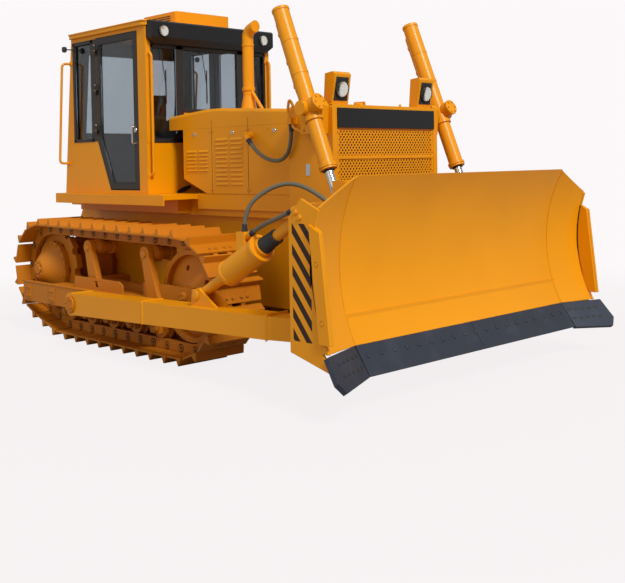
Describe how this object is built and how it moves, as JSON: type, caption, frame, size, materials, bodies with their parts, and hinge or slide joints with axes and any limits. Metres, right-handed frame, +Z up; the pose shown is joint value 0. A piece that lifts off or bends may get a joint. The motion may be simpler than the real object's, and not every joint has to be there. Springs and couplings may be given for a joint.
{
  "type": "crawler bulldozer",
  "caption": "Yellow crawler bulldozer with a raised semi-U blade on push arms, twin lift cylinders, closed cab, louvred hood and rear drawbar.",
  "frame": {"origin": "on the ground, midway between the drawbar's rear end and the foremost tips of the blade, on the machine's centre plane", "axes": "+X forward, towards the blade; +Y the machine's left; +Z up"},
  "size_m": [5.3851, 3.3402, 3.183],
  "materials": {
    "yellow_paint": "gloss orange-yellow paint",
    "track_paint": "orange-yellow paint, worn on the shoes",
    "edge_steel": "satin slate paint",
    "chrome": "polished",
    "glass": "clear, slightly blue",
    "black_paint": "gloss black paint",
    "seat_cloth": "woven black",
    "grey_plastic": "matte dark grey",
    "engine_grey": "cast, painted dark grey",
    "hose_rubber": "matte hose with spiral wrap"
  },
  "bodies": {
    "machine": {"bottom_rollers": "yellow_paint", "cab_roof": "yellow_paint", "cab_shell": "yellow_paint", "cab_windows": "glass", "carrier_rollers": "yellow_paint", "console": "grey_plastic", "cross_members": "yellow_paint", "drawbar": "yellow_paint", "engine": "engine_grey", "exhaust": "yellow_paint", "final_drives": "yellow_paint", "front_band": "black_paint", "fuel_tank": "yellow_paint", "grille": "yellow_paint", "hood": "yellow_paint", "hose_lift_left": "hose_rubber", "hose_lift_right": "hose_rubber", "hull": "yellow_paint", "idlers": "yellow_paint", "lift_brackets": "yellow_paint", "operator_seat": "seat_cloth", "platform": "yellow_paint", "radiator_housing": "yellow_paint", "rear_case": "yellow_paint", "roof_unit": "yellow_paint", "side_panels": "yellow_paint", "side_sills": "yellow_paint", "sprockets": "yellow_paint", "track_frame_left": "yellow_paint", "track_frame_right": "yellow_paint", "track_left": "track_paint", "track_right": "track_paint", "visor": "black_paint", "work_lamps": "yellow_paint"},
    "blade": {"hose_tilt_arch": "hose_rubber", "hose_tilt_link": "hose_rubber", "blade": "yellow_paint", "cutting_edge": "edge_steel", "push_arms": "yellow_paint", "tilt_cylinder": "yellow_paint", "screw_brace": "yellow_paint"},
    "lift_barrel_right": {"lift_barrel_right": "yellow_paint"},
    "lift_barrel_left": {"lift_barrel_left": "yellow_paint"},
    "lift_rod_right": {"lift_rod_right": "chrome"},
    "lift_rod_left": {"lift_rod_left": "chrome"},
    "door_right": {"door_right": "yellow_paint", "door_glass_right": "glass"},
    "door_left": {"door_left": "yellow_paint", "door_glass_left": "glass"}
  },
  "joints": [
    {"name": "blade_lift", "type": "hinge", "parent": "machine", "child": "blade", "pos_m": [-0.885, 0, 0.43], "axis": [0, -1, 0], "range_deg": [-12, 11]},
    {"name": "lift_trunnion_right", "type": "hinge", "parent": "machine", "child": "lift_barrel_right", "pos_m": [1.516, -0.77, 2.06], "axis": [0, -1, 0], "range_deg": [-5.76, 5.28]},
    {"name": "lift_stroke_right", "type": "slide", "parent": "lift_barrel_right", "child": "lift_rod_right", "axis": [0.3752, 0, -0.927], "range_m": [-0.5483, 0.5978]},
    {"name": "lift_trunnion_left", "type": "hinge", "parent": "machine", "child": "lift_barrel_left", "pos_m": [1.516, 0.77, 2.06], "axis": [0, -1, 0], "range_deg": [-5.76, 5.28]},
    {"name": "lift_stroke_left", "type": "slide", "parent": "lift_barrel_left", "child": "lift_rod_left", "axis": [0.3752, 0, -0.927], "range_m": [-0.5483, 0.5978]},
    {"name": "door_right_hinge", "type": "hinge", "parent": "machine", "child": "door_right", "pos_m": [-1.546, -0.768, 2.4], "axis": [0, 0, -1], "range_deg": [0, 100]},
    {"name": "door_left_hinge", "type": "hinge", "parent": "machine", "child": "door_left", "pos_m": [-1.546, 0.768, 2.4], "axis": [0, 0, 1], "range_deg": [0, 100]}
  ],
  "couplings": [
    {"joint": "lift_trunnion_right", "follows": "blade_lift", "ratio": 0.475},
    {"joint": "lift_stroke_right", "follows": "blade_lift", "m_per_rad": -2.835},
    {"joint": "lift_trunnion_left", "follows": "blade_lift", "ratio": 0.475},
    {"joint": "lift_stroke_left", "follows": "blade_lift", "m_per_rad": -2.835}
  ]
}
